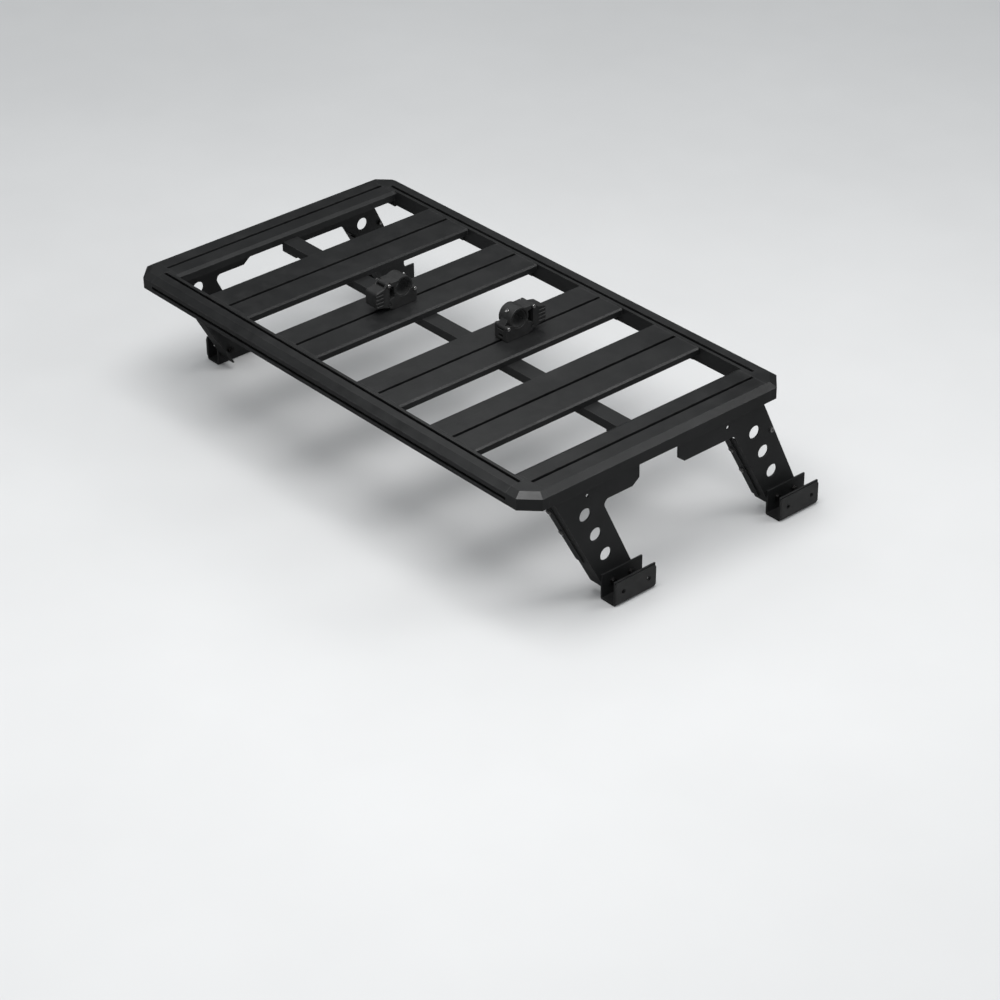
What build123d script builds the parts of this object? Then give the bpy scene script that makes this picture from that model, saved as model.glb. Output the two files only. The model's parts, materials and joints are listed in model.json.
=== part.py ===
"""Slatted cargo rack for a small pickup bed, on four leaning legs, with two tool clamps.

Millimetres. X runs across the vehicle, Y points to the cab and Z is up. Z = 0 is the
underside of the feet, and the origin is the middle of the footprint. Profiles below are
given from the middle of the deck and down from the deck surface.
"""

import math
import os

from build123d import *

os.makedirs("parts", exist_ok=True)

# Overall sizes
DECK_HALF_X = 655.0
DECK_HALF_Y = 360.0
DECK_TOP = 320.0
FOOT_LEAD = 70.0
MID_Y = -FOOT_LEAD / 2
FRAME_DEPTH = 36.0
BEVEL_OUT = 15.0
BEVEL_DOWN = 10.0

# T-grooves: 8 mm mouth, 3 mm lips, 16 mm channel
MOUTH_HALF = 4.0
LIP = 3.0
CHANNEL_HALF = 8.0
CHANNEL_FLOOR = 10.0

# Long rails and end rails
LONG_RAIL_HALF = 587.0
LONG_RAIL_INNER = 311.5
LONG_GROOVE_Y = 322.5
END_RAIL_HALF = 305.0
END_RAIL_INNER = 555.0
END_GROOVE_X = 603.0
END_INNER_DEPTH = 20.0
END_STEP_X = 612.0
LEG_SLOT_X = 625.0
CORNER_CUT = 978.0
INNER_BEVEL_OUT = 9.0
INNER_BEVEL_DOWN = 4.5

# Slats and spine
SLAT_X = (-371.0, -137.0, 137.0, 371.0)
SLAT_HALF = 70.0
SLAT_DEPTH = 16.0
SLAT_BODY_Y = 308.0
SLAT_END_Y = 311.0
SLAT_EDGE = 3.5
SPINE_HALF_X = 554.9
SPINE_HALF_Y = 20.0
WALL = 3.0

# Legs and feet
PLATE_IN = 640.0
PLATE_OUT = 644.0
FLANGE_IN = 602.0
LEG_BOTTOM = -300.0
REAR_SLOPE = 0.537
FRONT_SLOPE = 0.47
LEG_PITCH_Y = 475.0
LEG_HOLE_R = 15.0
LEG_HOLES = ((-201.0, -102.0), (-172.0, -159.5), (-143.5, -218.0))
FOOT_Y = (-101.0, 374.0)
FOOT_HALF = 56.0
FOOT_OUT = 686.0
PAD = 3.0
FOOT_BOLT_PITCH = 50.0
FOOT_BOLT_Z = -288.0
WALL_BOLT_PITCH = 70.0
WALL_BOLT_Z = -290.0
WALL_BOLT_HOLE_R = 4.5

# Fasteners, placed from the deck middle and the deck surface
LONG_RAIL_SCREW = (575.0, 331.0)
END_RAIL_SCREW = (645.0, 299.5)
SLAT_SCREW_X = 40.0
SLAT_SCREW_Y = 288.0
BRACKET_SCREW_Z = -26.0
SPINE_SCREW_X = (525.0, 580.0)
SPINE_SCREW_Y = 10.0
LEG_BOLT_Y = (90.0, 170.0, 250.0)
STRAP_OUT = 623.0
STRAP_BOLTS = ((0.0, -78.0), (0.0, -141.0), (LEG_PITCH_Y, -142.0), (LEG_PITCH_Y, -205.0))
ACCESSORY_BOLT = (324.0, -115.0)
LASHING_HOLE_R = 4.5
PAD_HOLE_R = 5.0
SCREW_R = 2.5
BOLT_R = 3.0
FOOT_BOLT_R = 4.0
HOLE_GAP = 0.1

# Tool clamps
CLAMP_HALF = 19.0
BORE_Z = 45.0
GRIP_R = 19.0
LINER_OUT = 21.05
BORE_R = 21.1
RING_R = 25.5
HINGE = (-31.0, 31.0)
PIN = (40.0, 61.0)
PIN_R = 2.5
PIN_GAP = 0.06
PIN_HEAD = 2.6
LEVER_ROUND = 7.0
LEVER_RIM = 2.5
JAW_SCREW_SEAT = 24.8
CLAMPS = {"a": (-137.0, -29.0, -1), "b": (137.0, 60.5, 1)}


def at(y, z):
    """Side-view point, from the deck middle and the deck surface."""
    return (MID_Y + y, DECK_TOP + z)


def box_points(low_a, low_b, high_a, high_b):
    """Corners of a rectangle as a point list."""
    return [(low_a, low_b), (high_a, low_b), (high_a, high_b), (low_a, high_b)]


def groove_points(centre):
    """T-groove open at the top surface."""
    return [
        (centre - MOUTH_HALF, 1.0),
        (centre - MOUTH_HALF, -LIP),
        (centre - CHANNEL_HALF, -LIP),
        (centre - CHANNEL_HALF, -CHANNEL_FLOOR),
        (centre + CHANNEL_HALF, -CHANNEL_FLOOR),
        (centre + CHANNEL_HALF, -LIP),
        (centre + MOUTH_HALF, -LIP),
        (centre + MOUTH_HALF, 1.0),
    ]


def rear_edge(z):
    """Rear edge of the rear leg strip at depth z."""
    return -252.7 + REAR_SLOPE * (-102.0 - z)


def front_edge(z):
    """Front edge of the rear leg strip at depth z."""
    return -149.0 + FRONT_SLOPE * (-102.0 - z)


def facing_up(x, y, z):
    """Plane at a deck-frame point with its normal up."""
    return Plane(origin=(x, MID_Y + y, DECK_TOP + z), z_dir=(0, 0, 1))


def facing_down(x, y, z):
    """Plane at a deck-frame point with its normal down."""
    return Plane(origin=(x, MID_Y + y, DECK_TOP + z), z_dir=(0, 0, -1))


def facing_x(x, y, z, side):
    """Plane at a deck-frame point with its normal along X, side is +1 or -1."""
    return Plane(origin=(x, MID_Y + y, DECK_TOP + z), z_dir=(side, 0, 0))


def facing_y(x, y, z, side):
    """Plane at a deck-frame point with its normal along Y, side is +1 or -1."""
    return Plane(origin=(x, MID_Y + y, DECK_TOP + z), z_dir=(0, side, 0))


def flange_plane(side, lead, z, lift):
    """Plane on the rear flange of a leg, normal to the rear, lifted off it."""
    run = math.hypot(REAR_SLOPE, 1.0)
    normal_y = -1.0 / run
    normal_z = -REAR_SLOPE / run
    y = rear_edge(z) + lead + normal_y * lift
    height = z + normal_z * lift
    origin = (side * (FLANGE_IN + STRAP_OUT) / 2, MID_Y + y, DECK_TOP + height)
    return Plane(origin=origin, x_dir=(1, 0, 0), z_dir=(0, normal_y, normal_z))


def socket_screws(seats, head_r, head_h, shank_r, length):
    """Round-headed socket screws, each with its head on the side its seat faces."""
    with BuildPart() as group:
        for seat in seats:
            with BuildSketch(seat):
                Circle(head_r)
            extrude(amount=head_h)
            with BuildSketch(seat.offset(head_h)):
                RegularPolygon(radius=head_r * 0.55, side_count=6)
            extrude(amount=-head_h * 0.6, mode=Mode.SUBTRACT)
            with BuildSketch(seat):
                Circle(shank_r)
            extrude(amount=-length)
    return group.part


def hex_bolts(seats, head_r, head_h, shank_r, length):
    """Hex-headed bolts with a round washer face under the head."""
    with BuildPart() as group:
        for seat in seats:
            with BuildSketch(seat):
                Circle(head_r)
            extrude(amount=head_h * 0.2)
            with BuildSketch(seat):
                RegularPolygon(radius=head_r, side_count=6)
            extrude(amount=head_h)
            with BuildSketch(seat):
                Circle(shank_r)
            extrude(amount=-length)
    return group.part


def hex_nuts(seats, corner_r, height, bore_r, turn=0):
    """Hex nuts standing on their seats."""
    with BuildPart() as group:
        for seat in seats:
            with BuildSketch(seat):
                RegularPolygon(radius=corner_r, side_count=6, rotation=turn)
                Circle(bore_r, mode=Mode.SUBTRACT)
            extrude(amount=height)
    return group.part


def corner_screw_spots():
    """Screws up into the corner spigots: along the long rails, then along the end rails."""
    spots = []
    for side_x in (-1, 1):
        for side_y in (-1, 1):
            spots.append((side_x * LONG_RAIL_SCREW[0], side_y * LONG_RAIL_SCREW[1]))
            spots.append((side_x * END_RAIL_SCREW[0], side_y * END_RAIL_SCREW[1]))
    return spots


def slat_screw_spots():
    """Screws up into the slat bottoms from the slat brackets."""
    spots = []
    for x in SLAT_X:
        for side_y in (-1, 1):
            spots.append((x - SLAT_SCREW_X, side_y * SLAT_SCREW_Y))
            spots.append((x + SLAT_SCREW_X, side_y * SLAT_SCREW_Y))
    return spots


def spine_bolt_spots():
    """Bolts that hold the slats to the spine bar."""
    spots = []
    for x in SLAT_X:
        spots.append((x - SLAT_SCREW_X, 0.0))
        spots.append((x + SLAT_SCREW_X, 0.0))
    return spots


def leg_bolt_spots():
    """Bolts from the leg flanges into the slots of the end rails."""
    spots = []
    for side_x in (-1, 1):
        for y in LEG_BOLT_Y:
            spots.append((side_x * LEG_SLOT_X, -y))
            spots.append((side_x * LEG_SLOT_X, y))
    return spots


def strap_bolt_spots():
    """Side, lead and depth of each strap bolt on the rear flanges."""
    spots = []
    for side_x in (-1, 1):
        for lead, z in STRAP_BOLTS:
            spots.append((side_x, lead, z))
    return spots


def long_rail(side):
    """Rail along X with a bevel, a top groove, a side slot and a closed chamber."""
    outline = [
        (LONG_RAIL_INNER, 0),
        (DECK_HALF_Y - BEVEL_OUT, 0),
        (DECK_HALF_Y, -BEVEL_DOWN),
        (DECK_HALF_Y, -FRAME_DEPTH),
        (LONG_RAIL_INNER, -FRAME_DEPTH),
    ]
    side_slot = [
        (361, -20), (357, -20), (357, -17), (350, -17),
        (350, -31), (357, -31), (357, -28), (361, -28),
    ]
    chamber = box_points(315, -33, 347, -13)
    bevel_chamber = [(334, -3), (343, -3), (351.5, -9), (334, -9)]
    top_groove = groove_points(LONG_GROOVE_Y)
    with BuildPart() as rail:
        with BuildSketch(Plane.YZ.offset(-LONG_RAIL_HALF)):
            Polygon(*[at(side * y, z) for y, z in outline])
            for hollow in (side_slot, chamber, bevel_chamber, top_groove):
                Polygon(*[at(side * y, z) for y, z in hollow], mode=Mode.SUBTRACT)
        extrude(amount=2 * LONG_RAIL_HALF)
        for x in (-LONG_RAIL_SCREW[0], LONG_RAIL_SCREW[0]):
            with BuildSketch(facing_up(x, side * LONG_RAIL_SCREW[1], -FRAME_DEPTH)):
                Circle(SCREW_R + HOLE_GAP)
            extrude(amount=4, mode=Mode.SUBTRACT)
        for x in SLAT_X:
            with BuildSketch(facing_y(x, side * LONG_RAIL_INNER, BRACKET_SCREW_Z, side)):
                Circle(SCREW_R + HOLE_GAP)
            extrude(amount=4, mode=Mode.SUBTRACT)
    return rail.part


def end_rail(side):
    """Rail along Y, wide on top, shallow inside and deep outside, slotted for the legs."""
    outline = [
        (END_RAIL_INNER, -INNER_BEVEL_DOWN),
        (END_RAIL_INNER + INNER_BEVEL_OUT, 0),
        (DECK_HALF_X - BEVEL_OUT, 0),
        (DECK_HALF_X, -BEVEL_DOWN),
        (DECK_HALF_X, -FRAME_DEPTH),
        (END_STEP_X, -FRAME_DEPTH),
        (END_STEP_X, -END_INNER_DEPTH),
        (END_RAIL_INNER, -END_INNER_DEPTH),
    ]
    leg_slot = [
        (LEG_SLOT_X - 4, -37), (LEG_SLOT_X - 4, -33), (LEG_SLOT_X - 8, -33),
        (LEG_SLOT_X - 8, -26), (LEG_SLOT_X + 8, -26), (LEG_SLOT_X + 8, -33),
        (LEG_SLOT_X + 4, -33), (LEG_SLOT_X + 4, -37),
    ]
    outer_chamber = box_points(615, -23, 652, -13)
    inner_chamber = [
        (558, -17), (609, -17), (609, -13), (592, -13), (592, -3), (567, -3), (558, -7.5),
    ]
    top_groove = groove_points(END_GROOVE_X)
    with BuildPart() as rail:
        with BuildSketch(Plane.XZ.offset(-(MID_Y + END_RAIL_HALF))):
            Polygon(*[(side * x, DECK_TOP + z) for x, z in outline])
            for hollow in (leg_slot, outer_chamber, inner_chamber, top_groove):
                Polygon(*[(side * x, DECK_TOP + z) for x, z in hollow], mode=Mode.SUBTRACT)
        extrude(amount=2 * END_RAIL_HALF)
        for side_y in (-1, 1):
            x, y = END_RAIL_SCREW
            with BuildSketch(facing_up(side * x, side_y * y, -FRAME_DEPTH)):
                Circle(SCREW_R + HOLE_GAP)
            extrude(amount=14, mode=Mode.SUBTRACT)
            x, y = SPINE_SCREW_X[1], SPINE_SCREW_Y
            with BuildSketch(facing_up(side * x, side_y * y, -END_INNER_DEPTH)):
                Circle(SCREW_R + HOLE_GAP)
            extrude(amount=4, mode=Mode.SUBTRACT)
    return rail.part


def corner_cap(side_x, side_y):
    """Clipped corner block with a bevel all round and a spigot into each rail."""
    plan = [
        (END_RAIL_INNER, END_RAIL_HALF),
        (DECK_HALF_X, END_RAIL_HALF),
        (DECK_HALF_X, CORNER_CUT - DECK_HALF_X),
        (CORNER_CUT - DECK_HALF_Y, DECK_HALF_Y),
        (LONG_RAIL_HALF, DECK_HALF_Y),
        (LONG_RAIL_HALF, LONG_RAIL_INNER),
        (END_RAIL_INNER, LONG_RAIL_INNER),
    ]
    half = math.sqrt(0.5)
    bevels = (
        (DECK_HALF_X, END_RAIL_HALF, 1.0, 0.0, BEVEL_OUT, BEVEL_DOWN),
        (LONG_RAIL_HALF, DECK_HALF_Y, 0.0, 1.0, BEVEL_OUT, BEVEL_DOWN),
        (DECK_HALF_X, CORNER_CUT - DECK_HALF_X, half, half, BEVEL_OUT, BEVEL_DOWN),
        (END_RAIL_INNER, END_RAIL_HALF, -1.0, 0.0, INNER_BEVEL_OUT, INNER_BEVEL_DOWN),
    )
    with BuildPart() as cap:
        with BuildSketch(Plane.XY.offset(DECK_TOP - FRAME_DEPTH)):
            Polygon(*[(side_x * x, MID_Y + side_y * y) for x, y in plan])
        extrude(amount=FRAME_DEPTH)
        for x, y, out_x, out_y, width, depth in bevels:
            slope = (side_x * out_x * depth, side_y * out_y * depth, width)
            edge = (side_x * x, MID_Y + side_y * y, DECK_TOP - depth)
            split(bisect_by=Plane(origin=edge, z_dir=slope), keep=Keep.BOTTOM)
        with BuildSketch(Plane.YZ.offset(min(side_x * 562.0, side_x * LONG_RAIL_HALF))):
            Polygon(*[at(side_y * y, z) for y, z in box_points(315.5, -32.5, 346.5, -13.5)])
        extrude(amount=25)
        with BuildSketch(Plane.XZ.offset(-(MID_Y + max(side_y * 280.0, side_y * 305.0)))):
            spigot = box_points(615.5, -22.5, 651.5, -13.5)
            Polygon(*[(side_x * x, DECK_TOP + z) for x, z in spigot])
        extrude(amount=25)
        for (x, y), low, height in ((LONG_RAIL_SCREW, -33.0, 14.0), (END_RAIL_SCREW, -23.0, 8.0)):
            with BuildSketch(facing_up(side_x * x, side_y * y, low)):
                Circle(SCREW_R + HOLE_GAP)
            extrude(amount=height, mode=Mode.SUBTRACT)
    return cap.part


def slat_outline(x):
    """Slat section with its bright long edges cut back."""
    return [
        (x - SLAT_HALF, -SLAT_DEPTH),
        (x + SLAT_HALF, -SLAT_DEPTH),
        (x + SLAT_HALF, -SLAT_EDGE),
        (x + SLAT_HALF - SLAT_EDGE, 0),
        (x - SLAT_HALF + SLAT_EDGE, 0),
        (x - SLAT_HALF, -SLAT_EDGE),
    ]


def slat(x):
    """Hollow slat with a T-groove down its middle."""
    with BuildPart() as board:
        with BuildSketch(Plane.XZ.offset(-(MID_Y + SLAT_BODY_Y))):
            Polygon(*[(px, DECK_TOP + z) for px, z in slat_outline(x)])
            Polygon(*[(px, DECK_TOP + z) for px, z in groove_points(x)], mode=Mode.SUBTRACT)
            for inner, outer in ((-66, -12), (12, 66)):
                chamber = box_points(x + inner, -13, x + outer, -4)
                Polygon(*[(px, DECK_TOP + z) for px, z in chamber], mode=Mode.SUBTRACT)
        extrude(amount=2 * SLAT_BODY_Y)
        for offset_x in (-SLAT_SCREW_X, SLAT_SCREW_X):
            for y in (-SLAT_SCREW_Y, 0.0, SLAT_SCREW_Y):
                with BuildSketch(facing_up(x + offset_x, y, -SLAT_DEPTH)):
                    Circle(SCREW_R + HOLE_GAP)
                extrude(amount=4, mode=Mode.SUBTRACT)
    return board.part


def slat_end_caps():
    """Plates that close the slat ends, each with two plugs."""
    with BuildPart() as caps:
        for x in SLAT_X:
            for side in (-1, 1):
                outer = MID_Y + max(side * SLAT_BODY_Y, side * SLAT_END_Y)
                with BuildSketch(Plane.XZ.offset(-outer)):
                    Polygon(*[(px, DECK_TOP + z) for px, z in slat_outline(x)])
                extrude(amount=SLAT_END_Y - SLAT_BODY_Y)
                plug_end = MID_Y + max(side * (SLAT_BODY_Y - 8.0), side * SLAT_BODY_Y)
                with BuildSketch(Plane.XZ.offset(-plug_end)):
                    for inner, outer_x in ((-65.5, -12.5), (12.5, 65.5)):
                        plug = box_points(x + inner, -12.5, x + outer_x, -4.5)
                        Polygon(*[(px, DECK_TOP + z) for px, z in plug])
                extrude(amount=8.0)
    return caps.part


def spine_bar():
    """Flat hollow bar under the slats, drilled for the slat bolts and the end brackets."""
    with BuildPart() as bar:
        with BuildSketch(Plane.YZ.offset(-SPINE_HALF_X)):
            Polygon(*[at(y, z) for y, z in box_points(-20, -36, 20, -16)])
            Polygon(*[at(y, z) for y, z in box_points(-17, -33, 17, -19)], mode=Mode.SUBTRACT)
        extrude(amount=2 * SPINE_HALF_X)
        for x, y in spine_bolt_spots():
            with BuildSketch(facing_up(x, y, -FRAME_DEPTH)):
                Circle(SCREW_R + HOLE_GAP)
            extrude(amount=20, mode=Mode.SUBTRACT)
        for side in (-1, 1):
            for y in (-SPINE_SCREW_Y, SPINE_SCREW_Y):
                with BuildSketch(facing_up(side * SPINE_SCREW_X[0], y, -FRAME_DEPTH)):
                    Circle(SCREW_R + HOLE_GAP)
                extrude(amount=WALL, mode=Mode.SUBTRACT)
    return bar.part


def spine_brackets():
    """Stepped brackets that hang the spine ends from the end rails."""
    outline = [
        (510, -40), (559, -40), (559, -24), (598, -24),
        (598, -20), (555, -20), (555, -36), (510, -36),
    ]
    with BuildPart() as brackets:
        for side in (-1, 1):
            with BuildSketch(Plane.XZ.offset(-(MID_Y + SPINE_HALF_Y))):
                Polygon(*[(side * x, DECK_TOP + z) for x, z in outline])
            extrude(amount=2 * SPINE_HALF_Y)
            for x in SPINE_SCREW_X:
                for y in (-SPINE_SCREW_Y, SPINE_SCREW_Y):
                    with BuildSketch(facing_up(side * x, y, -41.0)):
                        Circle(SCREW_R + HOLE_GAP)
                    extrude(amount=21.5, mode=Mode.SUBTRACT)
    return brackets.part


def slat_brackets():
    """Angle brackets that carry the slat ends on the long rails."""
    outline = [
        (274, -16), (311.5, -16), (311.5, -35), (308.5, -35), (308.5, -19), (274, -19),
    ]
    with BuildPart() as brackets:
        for x in SLAT_X:
            for side in (-1, 1):
                with BuildSketch(Plane.YZ.offset(x - 54)):
                    Polygon(*[at(side * y, z) for y, z in outline])
                extrude(amount=108)
                with BuildSketch(facing_y(x, side * 308.0, BRACKET_SCREW_Z, side)):
                    Circle(SCREW_R + HOLE_GAP)
                extrude(amount=4, mode=Mode.SUBTRACT)
        for x, y in slat_screw_spots():
            with BuildSketch(facing_up(x, y, -19.5)):
                Circle(SCREW_R + HOLE_GAP)
            extrude(amount=4, mode=Mode.SUBTRACT)
    return brackets.part


def leg(side, lead):
    """Folded leg plate: web under the end rail, leaning strip, rear flange, top flange."""
    if lead == 0:
        outline = [
            (rear_edge(-36), -36), (-54, -36), (-54, -74), (-72, -88),
            (front_edge(-88), -88), (front_edge(LEG_BOTTOM), LEG_BOTTOM),
            (rear_edge(LEG_BOTTOM), LEG_BOTTOM),
        ]
        inner_corner = (front_edge(-88), -88)
        flange_top = -36.0
        top_flange = (-284.0, -54.0)
        small_hole = (-195.0, -59.0)
    else:
        outline = [
            (54, -36), (288, -36), (front_edge(-45) + lead, -45),
            (front_edge(LEG_BOTTOM) + lead, LEG_BOTTOM),
            (rear_edge(LEG_BOTTOM) + lead, LEG_BOTTOM),
            (rear_edge(-88) + lead, -88), (72, -88), (54, -74),
        ]
        inner_corner = (rear_edge(-88) + lead, -88)
        flange_top = -104.0
        top_flange = (54.0, 284.0)
        small_hole = (195.0, -59.0)
    depth = 4.0 * math.hypot(REAR_SLOPE, 1.0)
    rear_flange = [
        (rear_edge(flange_top) + lead, flange_top),
        (rear_edge(flange_top) + lead + depth, flange_top),
        (rear_edge(LEG_BOTTOM) + lead + depth, LEG_BOTTOM),
        (rear_edge(LEG_BOTTOM) + lead, LEG_BOTTOM),
    ]
    plate_low = min(side * PLATE_IN, side * PLATE_OUT)
    flange_low = min(side * FLANGE_IN, side * PLATE_OUT)
    foot_y = FOOT_Y[0] if lead == 0 else FOOT_Y[1]
    with BuildPart() as plate:
        with BuildSketch(Plane.YZ.offset(plate_low)) as face:
            Polygon(*[at(y, z) for y, z in outline])
            corner = face.vertices().sort_by_distance(at(*inner_corner) + (0,))[0]
            fillet(corner, 12)
            for y, z in LEG_HOLES:
                with Locations(at(y + lead, z)):
                    Circle(LEG_HOLE_R, mode=Mode.SUBTRACT)
            with Locations(at(*small_hole)):
                Circle(LASHING_HOLE_R, mode=Mode.SUBTRACT)
            for y in (foot_y - FOOT_BOLT_PITCH / 2, foot_y + FOOT_BOLT_PITCH / 2):
                with Locations(at(y, FOOT_BOLT_Z)):
                    Circle(FOOT_BOLT_R + HOLE_GAP, mode=Mode.SUBTRACT)
            if lead:
                with Locations(at(*ACCESSORY_BOLT)):
                    Circle(BOLT_R + HOLE_GAP, mode=Mode.SUBTRACT)
        extrude(amount=PLATE_OUT - PLATE_IN)
        with BuildSketch(Plane.YZ.offset(flange_low)):
            Polygon(*[at(y, z) for y, z in rear_flange])
        extrude(amount=PLATE_OUT - FLANGE_IN)
        with BuildSketch(Plane.YZ.offset(flange_low)):
            Polygon(*[at(y, z) for y, z in box_points(top_flange[0], -40, top_flange[1], -36)])
        extrude(amount=PLATE_OUT - FLANGE_IN)
        for x, y in leg_bolt_spots():
            with BuildSketch(facing_up(x, y, -41)):
                Circle(BOLT_R + HOLE_GAP)
            extrude(amount=6, mode=Mode.SUBTRACT)
        for bolt_side, bolt_lead, z in strap_bolt_spots():
            if bolt_lead == lead:
                with BuildSketch(flange_plane(bolt_side, bolt_lead, z, 1)):
                    Circle(BOLT_R + HOLE_GAP)
                extrude(amount=-6, mode=Mode.SUBTRACT)
    return plate.part


def leg_straps():
    """Stiffener straps on the rear faces of the leg flanges."""
    with BuildPart() as straps:
        for side in (-1, 1):
            for lead, top, bottom in ((0.0, -54.0, -232.0), (LEG_PITCH_Y, -108.0, -286.0)):
                thick = -3.0 * math.hypot(REAR_SLOPE, 1.0)
                outline = [
                    (rear_edge(top) + lead, top),
                    (rear_edge(top) + lead + thick, top),
                    (rear_edge(bottom) + lead + thick, bottom),
                    (rear_edge(bottom) + lead, bottom),
                ]
                low = min(side * FLANGE_IN, side * STRAP_OUT)
                with BuildSketch(Plane.YZ.offset(low)):
                    Polygon(*[at(y, z) for y, z in outline])
                extrude(amount=STRAP_OUT - FLANGE_IN)
        for side, lead, z in strap_bolt_spots():
            with BuildSketch(flange_plane(side, lead, z, 4)):
                Circle(BOLT_R + HOLE_GAP)
            extrude(amount=-5, mode=Mode.SUBTRACT)
    return straps.part


def foot(side, centre):
    """Channel foot: inner wall bolts to the leg, outer wall bolts to the bed side."""
    outline = [
        (PLATE_OUT, -262), (PLATE_OUT + 4, -262), (PLATE_OUT + 4, -316),
        (FOOT_OUT - 4, -316), (FOOT_OUT - 4, -262), (FOOT_OUT, -262),
        (FOOT_OUT, -320), (PLATE_OUT, -320),
    ]
    with BuildPart() as channel:
        with BuildSketch(Plane.XZ.offset(-(MID_Y + centre + FOOT_HALF))):
            Polygon(*[(side * x, DECK_TOP + z) for x, z in outline])
        extrude(amount=2 * FOOT_HALF)
        fillet(channel.edges().filter_by(Axis.Y).group_by(Axis.Z)[0], 4)
        for y in (-FOOT_BOLT_PITCH / 2, FOOT_BOLT_PITCH / 2):
            with BuildSketch(facing_x(side * 650.0, centre + y, FOOT_BOLT_Z, -side)):
                Circle(FOOT_BOLT_R + HOLE_GAP)
            extrude(amount=8, mode=Mode.SUBTRACT)
        for y in (-WALL_BOLT_PITCH / 2, WALL_BOLT_PITCH / 2):
            with BuildSketch(facing_x(side * 680.0, centre + y, WALL_BOLT_Z, side)):
                Circle(WALL_BOLT_HOLE_R)
            extrude(amount=8, mode=Mode.SUBTRACT)
    return channel.part


def foot_pads():
    """Rubber pads between the feet and the bed sides."""
    with BuildPart() as pads:
        for side in (-1, 1):
            for centre in FOOT_Y:
                with BuildSketch(facing_x(side * FOOT_OUT, centre, WALL_BOLT_Z, side)):
                    RectangleRounded(50.0, 2 * FOOT_HALF, 6)
                    for y in (-WALL_BOLT_PITCH / 2, WALL_BOLT_PITCH / 2):
                        with Locations((0, y)):
                            Circle(PAD_HOLE_R, mode=Mode.SUBTRACT)
                extrude(amount=PAD)
    return pads.part


def clamp_points(key, points):
    """Clamp side-view points, from the bore line towards the latch, in deck frame."""
    _, axis_y, way = CLAMPS[key]
    return [at(axis_y + way * u, z) for u, z in points]


def clamp_base(key):
    """Base block with the lower half of the ring, hinge ears and the latch catch."""
    x = CLAMPS[key][0]
    outline = [
        (-34, 0.15), (24, 0.15), (38, 5.3), (38, 24), (34, 27), (26, 29.5),
        (23.7, 35.5), (-31, 35.5), (-36.5, 31), (-36.5, 3),
    ]
    with BuildPart() as base:
        with BuildSketch(Plane.YZ.offset(x - CLAMP_HALF)):
            Polygon(*clamp_points(key, outline))
            with Locations(*clamp_points(key, [HINGE])):
                Circle(5.5)
            with Locations(*clamp_points(key, [(0, BORE_Z)])):
                Circle(BORE_R, mode=Mode.SUBTRACT)
            Polygon(*clamp_points(key, box_points(34, 10, 39, 18)), mode=Mode.SUBTRACT)
        extrude(amount=2 * CLAMP_HALF)
        with BuildSketch(Plane.YZ.offset(x - 10.3)):
            Polygon(*clamp_points(key, box_points(-38, 24.9, -22.4, 37)))
        extrude(amount=20.6, mode=Mode.SUBTRACT)
        with BuildSketch(Plane.YZ.offset(x - CLAMP_HALF)):
            with Locations(*clamp_points(key, [HINGE])):
                Circle(PIN_R + PIN_GAP)
        extrude(amount=2 * CLAMP_HALF, mode=Mode.SUBTRACT)
        with BuildSketch(Plane.YZ.offset(x - 6.7)):
            Polygon(*clamp_points(key, box_points(-38, 8, 8, 14.4)))
        extrude(amount=13.4, mode=Mode.SUBTRACT)
        with BuildSketch(facing_up(x, CLAMPS[key][1], -0.5)):
            Circle(4.0)
        extrude(amount=17, mode=Mode.SUBTRACT)
    return base.part


def clamp_t_bolt(key):
    """T-bolt: square head in the slat groove, round shank up into the base."""
    x, axis_y, _ = CLAMPS[key]
    with BuildPart() as bolt:
        with BuildSketch(facing_up(x, axis_y, -9.4)):
            Rectangle(14.8, 14.8)
        extrude(amount=6.3)
        with BuildSketch(facing_up(x, axis_y, -3.2)):
            Circle(3.7)
        extrude(amount=18.7)
    return bolt.part


def clamp_liner(key, upper):
    """Rubber liner for one half of the bore."""
    x = CLAMPS[key][0]
    cut = box_points(-30, 10, 30, 36.6) if upper else box_points(-30, 35.4, 30, 80)
    with BuildPart() as liner:
        with BuildSketch(Plane.YZ.offset(x - 17)):
            with Locations(*clamp_points(key, [(0, BORE_Z)])):
                Circle(LINER_OUT)
                Circle(GRIP_R, mode=Mode.SUBTRACT)
            Polygon(*clamp_points(key, cut), mode=Mode.SUBTRACT)
        extrude(amount=34)
    return liner.part


def jaw_screw_seat(key):
    """Seat of the liner screw, on the back of the jaw, halfway up the ring."""
    x, axis_y, way = CLAMPS[key]
    half = math.sqrt(0.5)
    reach = JAW_SCREW_SEAT * half
    origin = (x, MID_Y + axis_y - way * reach, DECK_TOP + BORE_Z + reach)
    return Plane(origin=origin, x_dir=(1, 0, 0), z_dir=(0, -way * half, half))


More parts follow.
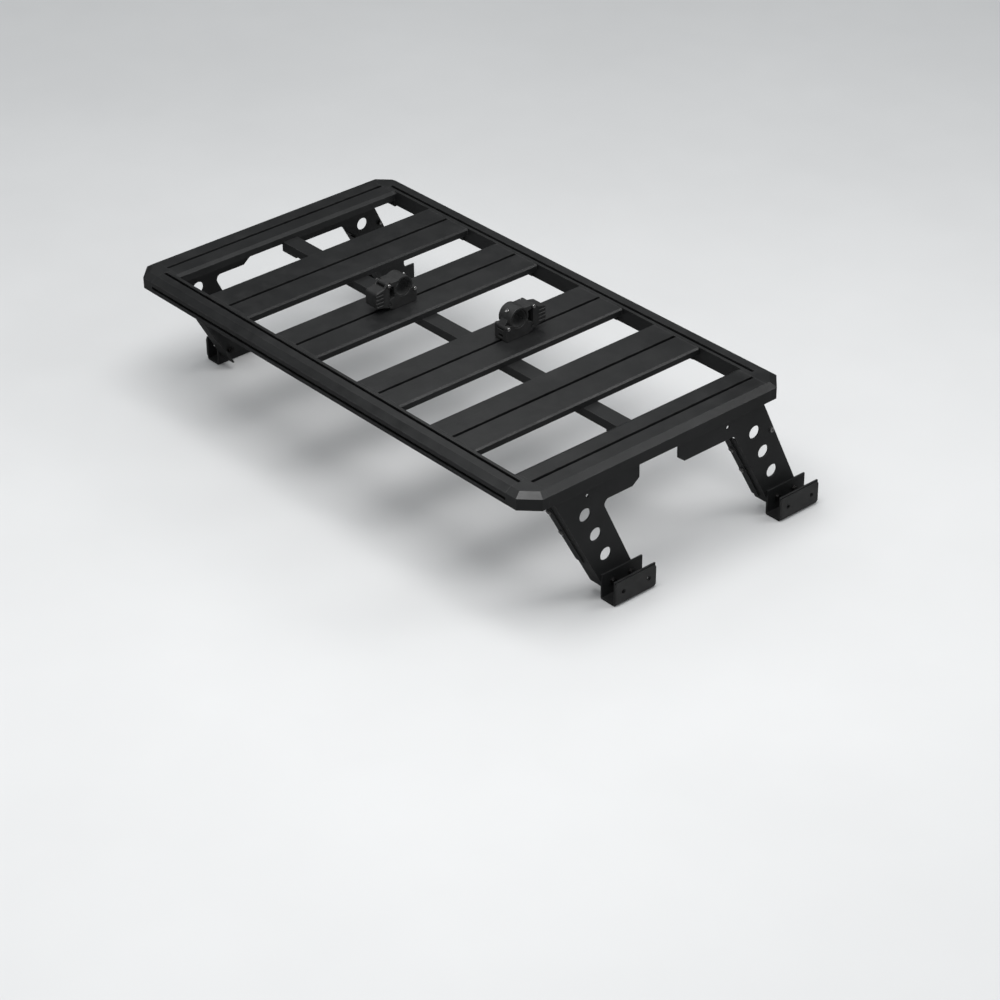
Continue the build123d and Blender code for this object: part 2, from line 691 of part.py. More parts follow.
def clamp_jaw(key):
    """Upper half of the ring with a hinge knuckle and a strap out to the lever pin."""
    x = CLAMPS[key][0]
    strap = [(0, 60), (12, 66), (34.2, 65.8), (34.2, 57), (22, 54), (18, 56)]
    tongue = [(30, 57), (PIN[0], 56.2), (PIN[0], 65.8), (30, 65.8)]
    arm = [(-35.5, 34), (-25, 48), (-22.5, 40), (-22.9, 36.5), (-26.2, 28.2)]
    with BuildPart() as jaw:
        with BuildSketch(Plane.YZ.offset(x - CLAMP_HALF)):
            with Locations(*clamp_points(key, [(0, BORE_Z)])):
                Circle(RING_R)
            Polygon(*clamp_points(key, strap))
            Polygon(*clamp_points(key, box_points(-30, 10, 30, 36.5)), mode=Mode.SUBTRACT)
            with Locations(*clamp_points(key, [(0, BORE_Z)])):
                Circle(BORE_R, mode=Mode.SUBTRACT)
        extrude(amount=2 * CLAMP_HALF)
        with BuildSketch(Plane.YZ.offset(x - 9.8)):
            Polygon(*clamp_points(key, arm))
            with Locations(*clamp_points(key, [HINGE])):
                Circle(5.5)
        extrude(amount=19.6)
        with BuildSketch(Plane.YZ.offset(x - 12.7)):
            Polygon(*clamp_points(key, tongue))
            with Locations(*clamp_points(key, [PIN])):
                Circle(4.8)
        extrude(amount=25.4)
        with BuildSketch(Plane.YZ.offset(x - CLAMP_HALF)):
            with Locations(*clamp_points(key, [HINGE, PIN])):
                Circle(PIN_R + PIN_GAP)
        extrude(amount=2 * CLAMP_HALF, mode=Mode.SUBTRACT)
        with BuildSketch(jaw_screw_seat(key)):
            Circle(5.2)
        extrude(amount=5, mode=Mode.SUBTRACT)
        with BuildSketch(jaw_screw_seat(key)):
            Circle(2.1)
        extrude(amount=-5, mode=Mode.SUBTRACT)
    return jaw.part


def clamp_lever(key):
    """Latch lever: two cheeks on the pin, a ribbed block and a nose under the catch."""
    x = CLAMPS[key][0]
    block = [
        (38.6, 7), (54, 12.3), (75, 15.5), (75, 52), (50, 57.5), (44.8, 54.5), (38.6, 54),
    ]
    rounded = clamp_points(key, [(75, 15.5), (75, 52)])
    nose = [(35.5, 11.4), (35.5, 15), (39, 15), (39, 10.8), (36.1, 10.8)]
    cheek = [(35.6, 58.2), (38.6, 54), (38.6, 48), (54, 48), (52, 57), (43.8, 64.6)]
    with BuildPart() as lever:
        with BuildSketch(Plane.YZ.offset(x - CLAMP_HALF)) as side_view:
            Polygon(*clamp_points(key, block))
            for y, z in rounded:
                fillet(side_view.vertices().sort_by_distance((y, z, 0))[0], LEVER_ROUND)
        extrude(amount=2 * CLAMP_HALF)
        latch_end = MID_Y + CLAMPS[key][1] + CLAMPS[key][2] * 75.0
        ends = lever.faces().sort_by(Axis.X)
        rims = [ends[0].edges(), ends[-1].edges()]
        rims = [rim.sort_by_distance((x, latch_end, DECK_TOP + 34.0))[0] for rim in rims]
        fillet(rims, LEVER_RIM)
        with BuildSketch(Plane.YZ.offset(x - CLAMP_HALF)):
            Polygon(*clamp_points(key, nose))
        extrude(amount=2 * CLAMP_HALF)
        for low in (-CLAMP_HALF, 13.0):
            with BuildSketch(Plane.YZ.offset(x + low)):
                Polygon(*clamp_points(key, cheek))
                with Locations(*clamp_points(key, [PIN])):
                    Circle(5.2)
            extrude(amount=6)
        with BuildSketch(Plane.YZ.offset(x - CLAMP_HALF)):
            with Locations(*clamp_points(key, [PIN])):
                Circle(PIN_R + PIN_GAP)
        extrude(amount=2 * CLAMP_HALF, mode=Mode.SUBTRACT)
        for low in (-CLAMP_HALF, CLAMP_HALF - 1.4):
            with BuildSketch(Plane.YZ.offset(x + low)):
                for z in (20.0, 28.5, 37.0, 45.5):
                    Polygon(*clamp_points(key, box_points(55, z, 76, z + 4)))
            extrude(amount=1.4, mode=Mode.SUBTRACT)
    return lever.part


def clamp_pin(key, centre):
    """Headed cross pin on a clamp pivot."""
    x = CLAMPS[key][0]
    with BuildPart() as pin:
        with BuildSketch(Plane.YZ.offset(x - CLAMP_HALF - 0.1)):
            with Locations(*clamp_points(key, [centre])):
                Circle(PIN_R)
        extrude(amount=2 * (CLAMP_HALF + 0.1))
        for low in (-CLAMP_HALF - 0.1 - PIN_HEAD, CLAMP_HALF + 0.1):
            with BuildSketch(Plane.YZ.offset(x + low)):
                with Locations(*clamp_points(key, [centre])):
                    Circle(4.2)
            extrude(amount=PIN_HEAD)
    return pin.part


def slat_screw_seats():
    """Seats of the screws through the slat brackets."""
    seats = [facing_down(x, y, -19) for x, y in slat_screw_spots()]
    for x in SLAT_X:
        for side in (-1, 1):
            seats.append(facing_y(x, side * 308.5, BRACKET_SCREW_Z, -side))
    return seats


def spine_end_seats():
    """Seats of the screws through the spine end brackets."""
    seats = []
    for side in (-1, 1):
        for y in (-SPINE_SCREW_Y, SPINE_SCREW_Y):
            seats.append(facing_down(side * SPINE_SCREW_X[0], y, -40))
            seats.append(facing_down(side * SPINE_SCREW_X[1], y, -24))
    return seats


def foot_bolt_seats(x, way):
    """Seats of the leg-to-foot bolts on the plane at X, facing in or out."""
    seats = []
    for side in (-1, 1):
        for centre in FOOT_Y:
            for y in (-FOOT_BOLT_PITCH / 2, FOOT_BOLT_PITCH / 2):
                seats.append(facing_x(side * x, centre + y, FOOT_BOLT_Z, side * way))
    return seats


sides = {"left": -1, "right": 1}
nodes = {
    "rear_rail": long_rail(-1),
    "front_rail": long_rail(1),
    "left_rail": end_rail(-1),
    "right_rail": end_rail(1),
}
for name, side in sides.items():
    nodes["corner_cap_rear_" + name] = corner_cap(side, -1)
    nodes["corner_cap_front_" + name] = corner_cap(side, 1)
    nodes["leg_rear_" + name] = leg(side, 0.0)
    nodes["leg_front_" + name] = leg(side, LEG_PITCH_Y)
    nodes["foot_rear_" + name] = foot(side, FOOT_Y[0])
    nodes["foot_front_" + name] = foot(side, FOOT_Y[1])
for number, slat_x in enumerate(SLAT_X, start=1):
    nodes["slat_" + str(number)] = slat(slat_x)
nodes["slat_end_caps"] = slat_end_caps()
nodes["spine_bar"] = spine_bar()
nodes["spine_brackets"] = spine_brackets()
nodes["slat_brackets"] = slat_brackets()
nodes["leg_straps"] = leg_straps()
nodes["foot_pads"] = foot_pads()
nodes["slat_screws"] = socket_screws(slat_screw_seats(), 4.5, 3.0, SCREW_R, 9.0)
nodes["spine_end_screws"] = socket_screws(spine_end_seats(), 4.5, 3.5, SCREW_R, 9.0)
nodes["corner_screws"] = socket_screws(
    [facing_down(x, y, -FRAME_DEPTH) for x, y in corner_screw_spots()], 4.5, 3.5, SCREW_R, 16.0
)
nodes["spine_bolts"] = hex_bolts(
    [facing_down(x, y, -FRAME_DEPTH) for x, y in spine_bolt_spots()], 4.6, 3.5, SCREW_R, 29.0
)
nodes["spine_nuts"] = hex_nuts(
    [facing_up(x, y, -13) for x, y in spine_bolt_spots()], 4.6, 4.0, SCREW_R + 0.05
)
nodes["leg_top_bolts"] = hex_bolts(
    [facing_down(x, y, -40) for x, y in leg_bolt_spots()], 5.8, 4.0, BOLT_R, 12.5
)
nodes["leg_slot_nuts"] = hex_nuts(
    [facing_up(x, y, -33) for x, y in leg_bolt_spots()], 8.5, 5.0, BOLT_R + 0.05, 30
)
nodes["strap_bolts"] = socket_screws(
    [flange_plane(s, lead, z, 3) for s, lead, z in strap_bolt_spots()], 6.5, 4.0, BOLT_R, 14.0
)
nodes["strap_nuts"] = hex_nuts(
    [flange_plane(s, lead, z, -9) for s, lead, z in strap_bolt_spots()], 6.0, 5.0, BOLT_R + 0.05
)
nodes["accessory_bolts"] = socket_screws(
    [facing_x(s * PLATE_OUT, *ACCESSORY_BOLT, s) for s in (-1, 1)], 5.5, 3.5, BOLT_R, 11.0
)
nodes["accessory_nuts"] = hex_nuts(
    [facing_x(s * PLATE_IN, *ACCESSORY_BOLT, -s) for s in (-1, 1)], 6.0, 5.0, BOLT_R + 0.05
)
nodes["foot_bolts"] = hex_bolts(foot_bolt_seats(PLATE_OUT + 4, 1), 7.5, 5.0, FOOT_BOLT_R, 16.0)
nodes["foot_nuts"] = hex_nuts(foot_bolt_seats(PLATE_IN, -1), 7.5, 6.5, FOOT_BOLT_R + 0.05)
for key in CLAMPS:
    prefix = "clamp_" + key + "_"
    nodes[prefix + "base"] = clamp_base(key)
    nodes[prefix + "t_bolt"] = clamp_t_bolt(key)
    nodes[prefix + "t_nut"] = hex_nuts(
        [facing_up(CLAMPS[key][0], CLAMPS[key][1], 8.1)], 7.5, 6.0, 3.75, 90
    )
    nodes[prefix + "base_liner"] = clamp_liner(key, False)
    nodes[prefix + "hinge_pin"] = clamp_pin(key, HINGE)
    nodes[prefix + "jaw"] = clamp_jaw(key)
    nodes[prefix + "jaw_liner"] = clamp_liner(key, True)
    nodes[prefix + "jaw_screw"] = socket_screws([jaw_screw_seat(key)], 4.4, 2.6, 2.0, 3.3)
    nodes[prefix + "lever"] = clamp_lever(key)
    nodes[prefix + "lever_pin"] = clamp_pin(key, PIN)

for name, node in nodes.items():
    node.label = name
    export_step(node, "parts/" + name + ".step")
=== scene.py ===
"""Looks of the slatted cargo rack: finishes, moulded clamp parts, rubber parts, light and camera."""

import json
import math

import bmesh
import bpy
from mathutils import Matrix, Vector

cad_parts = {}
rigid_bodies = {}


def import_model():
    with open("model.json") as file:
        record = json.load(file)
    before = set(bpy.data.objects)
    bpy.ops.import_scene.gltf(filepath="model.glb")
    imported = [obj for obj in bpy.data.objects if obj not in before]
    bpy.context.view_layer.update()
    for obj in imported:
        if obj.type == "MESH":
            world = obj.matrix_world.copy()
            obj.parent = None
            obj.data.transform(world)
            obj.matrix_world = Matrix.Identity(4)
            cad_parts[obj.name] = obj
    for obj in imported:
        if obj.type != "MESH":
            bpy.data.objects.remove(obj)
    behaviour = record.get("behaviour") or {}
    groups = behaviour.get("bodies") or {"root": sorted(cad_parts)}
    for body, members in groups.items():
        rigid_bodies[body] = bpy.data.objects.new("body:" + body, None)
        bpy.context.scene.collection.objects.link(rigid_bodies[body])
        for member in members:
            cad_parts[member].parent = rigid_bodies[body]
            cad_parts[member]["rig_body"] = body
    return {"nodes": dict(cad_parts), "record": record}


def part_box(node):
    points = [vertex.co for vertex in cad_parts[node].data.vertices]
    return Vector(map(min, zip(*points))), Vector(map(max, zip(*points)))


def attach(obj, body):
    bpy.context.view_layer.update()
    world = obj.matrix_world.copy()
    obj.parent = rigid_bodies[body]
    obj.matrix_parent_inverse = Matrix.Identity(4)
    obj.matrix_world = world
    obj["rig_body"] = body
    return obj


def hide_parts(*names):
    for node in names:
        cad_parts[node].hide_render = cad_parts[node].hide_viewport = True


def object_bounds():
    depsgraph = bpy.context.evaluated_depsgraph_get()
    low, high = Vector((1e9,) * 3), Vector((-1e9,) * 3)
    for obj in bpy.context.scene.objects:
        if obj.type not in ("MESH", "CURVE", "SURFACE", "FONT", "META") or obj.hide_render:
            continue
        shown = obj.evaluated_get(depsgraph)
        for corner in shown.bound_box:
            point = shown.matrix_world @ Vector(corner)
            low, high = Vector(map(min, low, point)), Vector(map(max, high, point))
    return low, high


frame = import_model()
cad_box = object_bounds()
nodes = frame["nodes"]

MM = 0.001

DECK_MIDDLE = (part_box("slat_1")[0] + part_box("slat_4")[1]) / 2
DECK_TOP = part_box("slat_1")[1].z


# ---------------------------------------------------------------- shader helpers


# How far the rounded normal may turn from the true one, as a cosine: on flat ground and on a corner
COSINE_ON_FLAT = 0.998
COSINE_ON_CORNER = 0.93
EDGE_SAMPLES = 6

# Upward part of the normal where dust starts to lie, and where it lies in full
DUST_STARTS = 0.55
DUST_FULL = 1.0


class Shader:
    """A small builder for one material. Its textures use the object's own coordinates, in metres."""

    def __init__(self, name):
        self.material = bpy.data.materials.new(name)
        self.material.use_nodes = True
        self.tree = self.material.node_tree
        self.tree.nodes.clear()
        output = self.new("OutputMaterial")
        self.surface = self.new("BsdfPrincipled")
        self.feed(output.inputs[0], self.surface.outputs[0])
        self.coordinates = self.new("TexCoord").outputs["Object"]

    def new(self, kind):
        """Adds one shader node."""
        return self.tree.nodes.new("ShaderNode" + kind)

    def feed(self, socket, value):
        """Wires another node's output into an input, or sets the input to a plain value."""
        if isinstance(value, bpy.types.NodeSocket):
            self.tree.links.new(value, socket)
        else:
            socket.default_value = value

    def put(self, name, value):
        """Feeds one input of the surface."""
        self.feed(self.surface.inputs[name], value)

    def stretched(self, scale):
        """The coordinates scaled along X, Y and Z."""
        node = self.new("Mapping")
        self.feed(node.inputs["Scale"], scale)
        self.feed(node.inputs["Vector"], self.coordinates)
        return node.outputs[0]

    def noise(self, scale, detail=3.0, roughness=0.55, vector=None):
        """Cloudy noise, at so many cells per metre."""
        node = self.new("TexNoise")
        self.feed(node.inputs["Scale"], scale)
        self.feed(node.inputs["Detail"], detail)
        self.feed(node.inputs["Roughness"], roughness)
        self.feed(node.inputs["Vector"], vector or self.coordinates)
        return node.outputs[0]

    def cells(self, scale):
        """Distance to the nearest of many scattered points, at so many per metre."""
        node = self.new("TexVoronoi")
        self.feed(node.inputs["Scale"], scale)
        self.feed(node.inputs["Vector"], self.coordinates)
        return node.outputs["Distance"]

    def spread(self, value, within, onto=(0.0, 1.0)):
        """Maps one range of a value onto another and holds it between that range's ends."""
        node = self.new("MapRange")
        self.feed(node.inputs["From Min"], within[0])
        self.feed(node.inputs["From Max"], within[1])
        self.feed(node.inputs["To Min"], onto[0])
        self.feed(node.inputs["To Max"], onto[1])
        self.feed(node.inputs["Value"], value)
        return node.outputs[0]

    def maths(self, operation, first, second):
        """Adds, subtracts or multiplies two values."""
        node = self.new("Math")
        node.operation = operation
        self.feed(node.inputs[0], first)
        self.feed(node.inputs[1], second)
        return node.outputs[0]

    def mix(self, factor, first, second):
        """Fades from the first colour to the second."""
        node = self.new("Mix")
        node.data_type = "RGBA"
        for name, value in (("Factor", factor), ("A", first), ("B", second)):
            picked = [s for s in node.inputs if s.name == name and s.enabled][0]
            self.feed(picked, value)
        return [s for s in node.outputs if s.enabled][0]

    def edges(self, radius):
        """0 on flat ground and about 1 on a corner, from a rounded normal against the true one."""
        bevel = self.new("Bevel")
        bevel.samples = EDGE_SAMPLES
        self.feed(bevel.inputs["Radius"], radius)
        dot = self.new("VectorMath")
        dot.operation = "DOT_PRODUCT"
        self.feed(dot.inputs[0], bevel.outputs[0])
        self.feed(dot.inputs[1], self.new("NewGeometry").outputs["Normal"])
        return self.spread(dot.outputs["Value"], (COSINE_ON_FLAT, COSINE_ON_CORNER))

    def upward(self):
        """1 where the surface faces straight up, falling to 0 on slopes and walls."""
        split = self.new("SeparateXYZ")
        self.feed(split.inputs[0], self.new("NewGeometry").outputs["Normal"])
        return self.spread(split.outputs["Z"], (DUST_STARTS, DUST_FULL))

    def bump(self, layers):
        """Stacks (height, strength, distance in metres) layers into one normal."""
        normal = None
        for height, strength, distance in layers:
            node = self.new("Bump")
            self.feed(node.inputs["Strength"], strength)
            self.feed(node.inputs["Distance"], distance)
            self.feed(node.inputs["Height"], height)
            if normal is not None:
                self.feed(node.inputs["Normal"], normal)
            normal = node.outputs[0]
        self.put("Normal", normal)


def grey(value, warmth=0.0):
    """A near-neutral colour; negative warmth leans to green-blue."""
    return (value * (1 + warmth), value, value * (1 - warmth * 0.5), 1.0)


# ---------------------------------------------------------------- materials


# Fineness of the surface textures, in cells per metre
PAINT_PATCHES = 7.0
PAINT_DUST = 18.0
PAINT_SHEEN = 26.0
PAINT_RUBS = 55.0
PAINT_PEEL = 520.0
PAINT_GRAIN = 1400.0
PLASTIC_MOTTLE = 60.0
PLASTIC_RUBS = 130.0
PLASTIC_SHEEN = 240.0
PLASTIC_SWELL = 420.0
PLASTIC_GRAIN = 1500.0
RUBBER_BLOOM = 45.0
RUBBER_SWELL = 300.0
RUBBER_PITS = 1100.0
PLATING_STAINS = 160.0
FLOOR_PATCHES = 1.3
FLOOR_SHEEN = 9.0
FLOOR_GRAIN = 240.0

# The same along X, Y and Z, for marks that run one way: draw lines with painted sheen streaks, and
# turning marks
LINES_ALONG_X = (1.2, 900.0, 900.0)
LINES_ALONG_Y = (900.0, 1.2, 900.0)
TURNING_MARKS = (300.0, 2600.0, 900.0)

# How far wear reaches in from an edge
PAINT_WEAR = 1.6 * MM
PLASTIC_WEAR = 1.8 * MM
PLATING_WEAR = 0.5 * MM

# Least and greatest roughness of each finish
PAINT_ROUGHNESS = (0.35, 0.49)
PLASTIC_ROUGHNESS = (0.44, 0.58)
RUBBER_ROUGHNESS = (0.74, 0.9)
FLOOR_ROUGHNESS = (0.62, 0.72)

DUST_GREY = grey(0.032, 0.01)
RUBBED_PAINT = grey(0.075)
RUBBED_PLASTIC = grey(0.07)
FLOOR_GREYS = (grey(0.63), grey(0.66))
FLOOR_IN_REFLECTIONS = grey(0.12)


def powder_coat(name, base, along=None, peel=1.0, dust=0.45):
    """Satin black powder coat: orange peel, light dust, rubbed edges and, where asked, draw lines with
    painted sheen streaks.
    """
    s = Shader(name)
    grain = s.noise(PAINT_GRAIN, 2.0)
    patches = s.spread(s.noise(PAINT_PATCHES, 5.0), (0.35, 0.7))
    worn = s.maths("MULTIPLY", s.edges(PAINT_WEAR), s.spread(s.noise(PAINT_RUBS, 5.0), (0.38, 0.60)))
    drifts = s.spread(s.noise(PAINT_DUST, 6.0, 0.7), (0.45, 0.85))
    settled = s.maths("MULTIPLY", s.upward(), drifts)
    colour = s.mix(patches, grey(base * 0.78, -0.04), grey(base * 1.22, -0.04))
    colour = s.mix(s.maths("MULTIPLY", settled, dust), colour, DUST_GREY)
    colour = s.mix(s.maths("MULTIPLY", worn, 0.55), colour, RUBBED_PAINT)
    rough = s.spread(s.noise(PAINT_SHEEN, 6.0), (0.3, 0.75), PAINT_ROUGHNESS)
    rough = s.maths("ADD", rough, s.maths("MULTIPLY", settled, 0.12))
    rough = s.maths("ADD", rough, s.spread(grain, (0.3, 0.7), (-0.03, 0.03)))
    layers = [(s.noise(PAINT_PEEL, 2.0), 0.5 * peel, 0.32 * MM), (grain, 0.4 * peel, 0.14 * MM)]
    if along is not None:
        draw_lines_and_sheen = s.noise(1.0, 3.0, 0.6, s.stretched(along))
        layers.append((draw_lines_and_sheen, 0.30, 0.10 * MM))
        rough = s.maths("ADD", rough, s.spread(draw_lines_and_sheen, (0.3, 0.7), (-0.05, 0.05)))
        # Painted sheen: lighter streaks along the draw lines are mixed into the colour here; the draw
        # lines themselves are the roughness and bump above.
        colour = s.mix(s.spread(draw_lines_and_sheen, (0.52, 0.75), (0.0, 0.35)), colour, grey(base * 1.8))
    s.put("Base Color", colour)
    s.put("Roughness", rough)
    s.bump(layers)
    return s.material


def moulded_plastic(name, base):
    """Glass-filled black plastic with a spark-eroded grain and polished high spots."""
    s = Shader(name)
    mottled = s.spread(s.noise(PLASTIC_MOTTLE, 4.0), (0.35, 0.7))
    rub = s.maths("MULTIPLY", s.edges(PLASTIC_WEAR), s.spread(s.noise(PLASTIC_RUBS, 4.0), (0.36, 0.60)))
    colour = s.mix(mottled, grey(base * 0.8), grey(base * 1.25))
    rough = s.spread(s.noise(PLASTIC_SHEEN, 3.0), (0.3, 0.7), PLASTIC_ROUGHNESS)
    s.put("Base Color", s.mix(s.maths("MULTIPLY", rub, 0.5), colour, RUBBED_PLASTIC))
    s.put("Roughness", s.maths("SUBTRACT", rough, s.maths("MULTIPLY", rub, 0.14)))
    s.bump([
        (s.cells(PLASTIC_GRAIN), 0.45, 0.22 * MM),
        (s.noise(PLASTIC_SWELL, 3.0), 0.3, 0.16 * MM),
    ])
    return s.material


def black_rubber(name, base):
    """Matte rubber with bloom and fine pits."""
    s = Shader(name)
    bloom = s.spread(s.noise(RUBBER_BLOOM, 6.0, 0.65), (0.4, 0.75))
    s.put("Base Color", s.mix(bloom, grey(base), grey(base * 2.1, 0.02)))
    s.put("Roughness", s.spread(bloom, (0.0, 1.0), RUBBER_ROUGHNESS))
    s.put("Specular IOR Level", 0.35)
    s.put("Sheen Weight", 0.12)
    s.bump([
        (s.cells(RUBBER_PITS), 0.3, 0.09 * MM),
        (s.noise(RUBBER_SWELL, 3.0), 0.22, 0.12 * MM),
    ])
    return s.material


def plated_steel(name, base, polished, stained):
    """Plated steel with fine turning marks, stains and brighter edges; takes two roughnesses."""
    s = Shader(name)
    stains = s.spread(s.noise(PLATING_STAINS, 5.0), (0.35, 0.75))
    marks = s.noise(1.0, 2.0, 0.5, s.stretched(TURNING_MARKS))
    colour = s.mix(stains, grey(base * 0.78, 0.02), grey(base, 0.01))
    s.put("Base Color", s.mix(s.maths("MULTIPLY", s.edges(PLATING_WEAR), 0.5), colour, grey(base * 1.3)))
    s.put("Metallic", 1.0)
    s.put("Roughness", s.spread(stains, (0.0, 1.0), (stained, polished)))
    s.bump([(marks, 0.18, 0.03 * MM)])
    return s.material


def pale_floor(name):
    """Pale studio floor, kept dim in the rack's own reflections as a dark ground would be."""
    s = Shader(name)
    pale = s.mix(s.spread(s.noise(FLOOR_PATCHES, 4.0), (0.3, 0.7)), *FLOOR_GREYS)
    reflected = s.new("LightPath").outputs["Is Glossy Ray"]
    s.put("Base Color", s.mix(reflected, pale, FLOOR_IN_REFLECTIONS))
    s.put("Roughness", s.spread(s.noise(FLOOR_SHEEN, 4.0), (0.3, 0.7), FLOOR_ROUGHNESS))
    s.bump([(s.noise(FLOOR_GRAIN, 3.0), 0.05, 0.2 * MM)])
    return s.material


looks = {
    "long_rail": powder_coat("rail_powder_coat_x", 0.0098, LINES_ALONG_X),
    "end_rail": powder_coat("rail_powder_coat_y", 0.0098, LINES_ALONG_Y),
    "cap": powder_coat("cap_powder_coat", 0.0105, peel=1.15),
    "slat": powder_coat("slat_powder_coat", 0.0098, LINES_ALONG_Y),
    "under": powder_coat("understructure_coat", 0.0105, LINES_ALONG_X, peel=1.1, dust=0.15),
    "leg": powder_coat("leg_powder_coat", 0.011, peel=1.7, dust=0.2),
    "plastic": moulded_plastic("end_cap_plastic", 0.012),
    "clamp": moulded_plastic("clamp_moulded_plastic", 0.018),
    "rubber": black_rubber("black_rubber", 0.009),
    "bright": plated_steel("zinc_plated_steel", 0.62, polished=0.22, stained=0.38),
    "dark": plated_steel("black_oxide_steel", 0.06, polished=0.3, stained=0.48),
}

LOOK_OF_SLOT = {
    "cap_finish": "cap",
    "slat_finish": "slat",
    "understructure_paint": "under",
    "leg_paint": "leg",
    "end_cap_plastic": "plastic",
    "clamp_plastic": "clamp",
    "liner_rubber": "rubber",
    "pad_rubber": "rubber",
    "bright_hardware": "bright",
    "dark_hardware": "dark",
}
SLOT_OF_NODE = {p["node"]: p["material_slot"] for p in frame["record"]["subparts"]}


def look_of(node):
    """The name of the look that a CAD node wears; the rails' draw lines and painted sheen streaks run
    along their length.
    """
    if node in ("rear_rail", "front_rail"):
        return "long_rail"
    if node in ("left_rail", "right_rail"):
        return "end_rail"
    return LOOK_OF_SLOT[SLOT_OF_NODE[node]]


def wear(obj, material):
    """Gives an object one material in place of any it had."""
    obj.data.materials.clear()
    obj.data.materials.append(material)


# ---------------------------------------------------------------- CAD nodes


WELD_WITHIN = 0.002 * MM
FLAT_WITHIN = math.radians(0.2)
CORNER_FROM = math.radians(32)
WIDE_EDGE = 1.0 * MM
NARROW_EDGE_SEGMENTS = 2
WIDE_EDGE_SEGMENTS = 4
LARGE_FACE_WEIGHT = 80

EDGE_WIDTH = {
    "long_rail": 0.7 * MM,
    "end_rail": 0.7 * MM,
    "cap": 0.9 * MM,
    "slat": 0.7 * MM,
    "under": 0.6 * MM,
    "leg": 0.7 * MM,
    "plastic": 0.5 * MM,
    "bright": 1.1 * MM,
    "dark": 0.3 * MM,
}


def weld(obj):
    """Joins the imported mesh's doubled points."""
    modifier = obj.modifiers.new("weld", "WELD")
    modifier.merge_threshold = WELD_WITHIN


def soften_edges(obj, width):
    """Rounds the real corners of a node and leaves its flat faces flat."""
    weld(obj)
    flat = obj.modifiers.new("flat", "DECIMATE")
    flat.decimate_type = "DISSOLVE"
    flat.angle_limit = FLAT_WITHIN
    bevel = obj.modifiers.new("round", "BEVEL")
    bevel.width = width
    bevel.segments = WIDE_EDGE_SEGMENTS if width >= WIDE_EDGE else NARROW_EDGE_SEGMENTS
    bevel.limit_method = "ANGLE"
    bevel.angle_limit = CORNER_FROM
    bevel.use_clamp_overlap = True
    normals = obj.modifiers.new("normals", "WEIGHTED_NORMAL")
    normals.keep_sharp = True
    normals.weight = LARGE_FACE_WEIGHT


for node, obj in nodes.items():
    look = look_of(node)
    wear(obj, looks[look])
    if look in EDGE_WIDTH:
        soften_edges(obj, EDGE_WIDTH[look])


# ---------------------------------------------------------------- moulded and rubber pieces


CLAMP_VOXEL = 0.55 * MM
LINER_VOXEL = 0.5 * MM
PAD_VOXEL = 0.8 * MM
CLAMP_ROUNDS = 4
RUBBER_ROUNDS = 3
SMOOTH_FACTOR = 0.5
PAD_KEEP = 0.3


def finished_mesh(obj):
    """Swaps an object's mesh for the result of its modifiers."""
    depsgraph = bpy.context.evaluated_depsgraph_get()
    mesh = bpy.data.meshes.new_from_object(obj.evaluated_get(depsgraph))
    obj.modifiers.clear()
    obj.data = mesh


def moulded_copy(node, name, voxel, rounds, keep):
    """A rounded, moulded version of a CAD node, with a share of its faces kept."""
    obj = bpy.data.objects.new(name, nodes[node].data.copy())
    bpy.context.scene.collection.objects.link(obj)
    weld(obj)
    remesh = obj.modifiers.new("remesh", "REMESH")
    remesh.mode = "VOXEL"
    remesh.voxel_size = voxel
    smooth = obj.modifiers.new("smooth", "SMOOTH")
    smooth.factor = SMOOTH_FACTOR
    smooth.iterations = rounds
    thin = obj.modifiers.new("thin", "DECIMATE")
    thin.ratio = keep
    finished_mesh(obj)
    for face in obj.data.polygons:
        face.use_smooth = True
    return obj


def remake(node, name, look, voxel, rounds, keep=0.5):
    """Puts a moulded copy in a CAD node's place, on the same body."""
    piece = moulded_copy(node, name, voxel, rounds, keep)
    wear(piece, looks[look])
    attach(piece, nodes[node]["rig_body"])
    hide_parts(node)


for key in ("a", "b"):
    for part in ("base", "jaw", "lever"):
        node = "clamp_%s_%s" % (key, part)
        remake(node, node + "_moulding", "clamp", CLAMP_VOXEL, CLAMP_ROUNDS)
    for part in ("base_liner", "jaw_liner"):
        node = "clamp_%s_%s" % (key, part)
        remake(node, node + "_rubber", "rubber", LINER_VOXEL, RUBBER_ROUNDS)
remake("foot_pads", "foot_pad_rubber", "rubber", PAD_VOXEL, RUBBER_ROUNDS, PAD_KEEP)


# ---------------------------------------------------------------- floor and light


FLOOR_SIZE = 30.0
FLOOR_GAP = 0.5 * MM

# The room's light, and how its strength climbs with height in the rack's own reflections
ROOM_TINT = (0.95, 0.98, 1.0, 1.0)
ROOM_LIGHT = 0.66
ROOM_IN_REFLECTIONS = {"From Min": 0.1, "From Max": 0.95, "To Min": 0.01, "To Max": 0.25}

# Square softboxes: name, where it hangs, what it faces and the length of its side, in metres, and watts
SOFTBOXES = (
    ("overhead", (0.45, -0.85, 3.4), (0.4, -0.7, 0.3), 2.1, 92.0),
    ("right", (2.05, 1.75, 2.2), (0.2, 0.0, 0.3), 1.1, 19.0),
    ("low_panel", (-0.6, 0.6, 1.25), (0.5, -0.35, 0.3), 0.8, 0.9),
)


def build_floor():
    """A large flat floor just below the feet."""
    mesh = bpy.data.meshes.new("floor")
    build = bmesh.new()
    bmesh.ops.create_grid(build, x_segments=2, y_segments=2, size=FLOOR_SIZE)
    build.to_mesh(mesh)
    build.free()
    floor = bpy.data.objects.new("floor", mesh)
    floor.location.z = cad_box[0][2] - FLOOR_GAP
    bpy.context.scene.collection.objects.link(floor)
    wear(floor, pale_floor("pale_floor"))


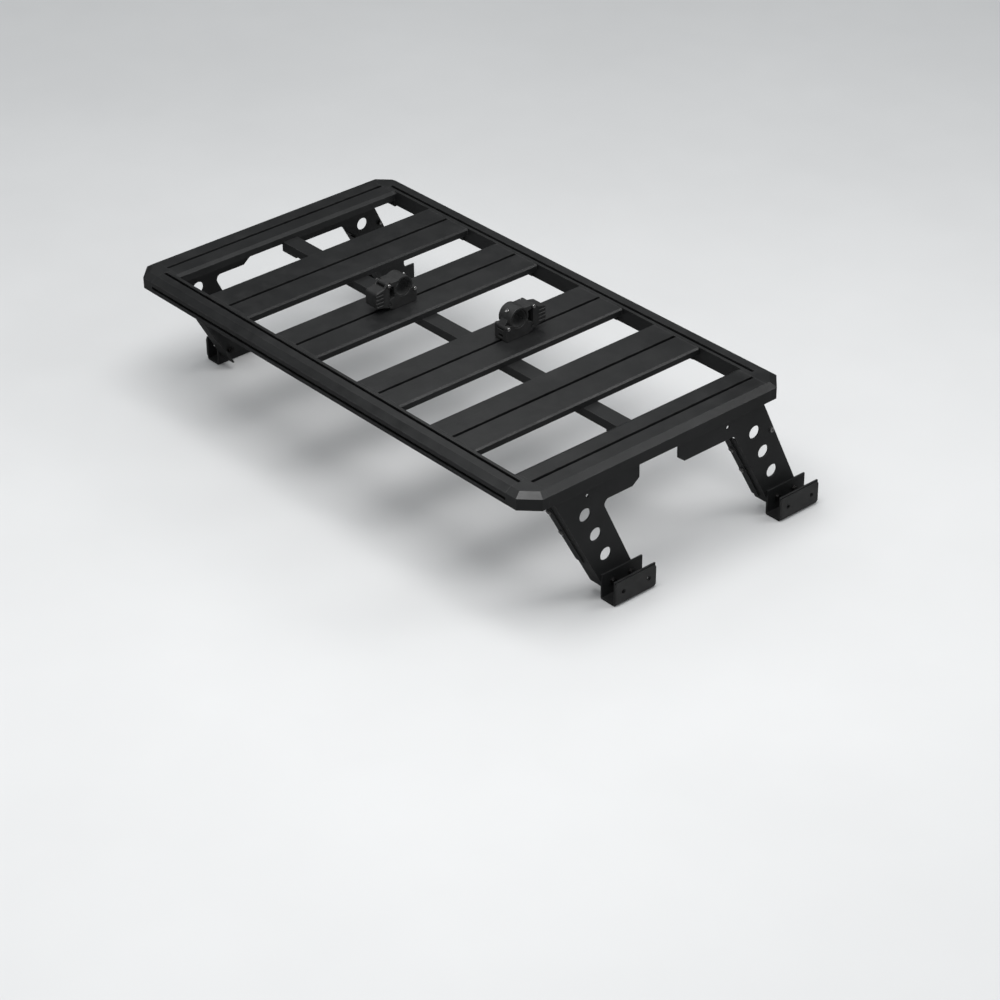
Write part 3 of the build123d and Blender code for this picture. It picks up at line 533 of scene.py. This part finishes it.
def add_softbox(name, place, target, side, watts):
    """A square area light that the camera itself doesn't see."""
    light = bpy.data.lights.new(name, "AREA")
    light.shape = "SQUARE"
    light.size = side
    light.energy = watts
    obj = bpy.data.objects.new(name, light)
    obj.location = place
    obj.rotation_euler = (Vector(target) - Vector(place)).to_track_quat("-Z", "Y").to_euler()
    obj.visible_camera = False
    bpy.context.scene.collection.objects.link(obj)


def build_world():
    """Even light all round; in reflections the room is dark low down and brighter above."""
    world = bpy.data.worlds.new("studio")
    world.use_nodes = True
    tree = world.node_tree
    background = tree.nodes["Background"]
    background.inputs["Color"].default_value = ROOM_TINT
    direction = tree.nodes.new("ShaderNodeTexCoord")
    split = tree.nodes.new("ShaderNodeSeparateXYZ")
    climb = tree.nodes.new("ShaderNodeMapRange")
    for name, value in ROOM_IN_REFLECTIONS.items():
        climb.inputs[name].default_value = value
    path = tree.nodes.new("ShaderNodeLightPath")
    strength = tree.nodes.new("ShaderNodeMix")
    strength.inputs["A"].default_value = ROOM_LIGHT
    tree.links.new(direction.outputs["Generated"], split.inputs[0])
    tree.links.new(split.outputs["Z"], climb.inputs["Value"])
    tree.links.new(path.outputs["Is Glossy Ray"], strength.inputs["Factor"])
    tree.links.new(climb.outputs[0], strength.inputs["B"])
    tree.links.new(strength.outputs[0], background.inputs["Strength"])
    bpy.context.scene.world = world


build_floor()
build_world()
for softbox in SOFTBOXES:
    add_softbox(*softbox)


# ---------------------------------------------------------------- camera


# Metres from the middle of the deck surface to the photograph's viewpoint
CAMERA_FROM_DECK = Vector((4.193, -3.506, 2.983))

# The directions that run to the right and down in the picture
CAMERA_RIGHT = Vector((0.6599, 0.7513, -0.0087))
CAMERA_DOWN = Vector((0.3951, -0.3568, -0.8465))

LENS_MM = 104.94
SENSOR_MM = 36.0
SEES_AS_FAR_AS = 100.0


def build_camera():
    """A camera that sees the rack as the photograph does."""
    camera = bpy.data.objects.new("camera", bpy.data.cameras.new("camera"))
    camera.data.lens = LENS_MM
    camera.data.sensor_width = SENSOR_MM
    camera.data.clip_end = SEES_AS_FAR_AS
    right = CAMERA_RIGHT.normalized()
    up = -CAMERA_DOWN
    up = (up - right * up.dot(right)).normalized()
    back = right.cross(up)
    turn = Matrix((right, up, back)).transposed().to_4x4()
    middle = Vector((DECK_MIDDLE.x, DECK_MIDDLE.y, DECK_TOP))
    camera.matrix_world = Matrix.Translation(middle + CAMERA_FROM_DECK) @ turn
    bpy.context.scene.collection.objects.link(camera)
    bpy.context.scene.camera = camera


build_camera()

bpy.context.scene.view_settings.view_transform = "Standard"
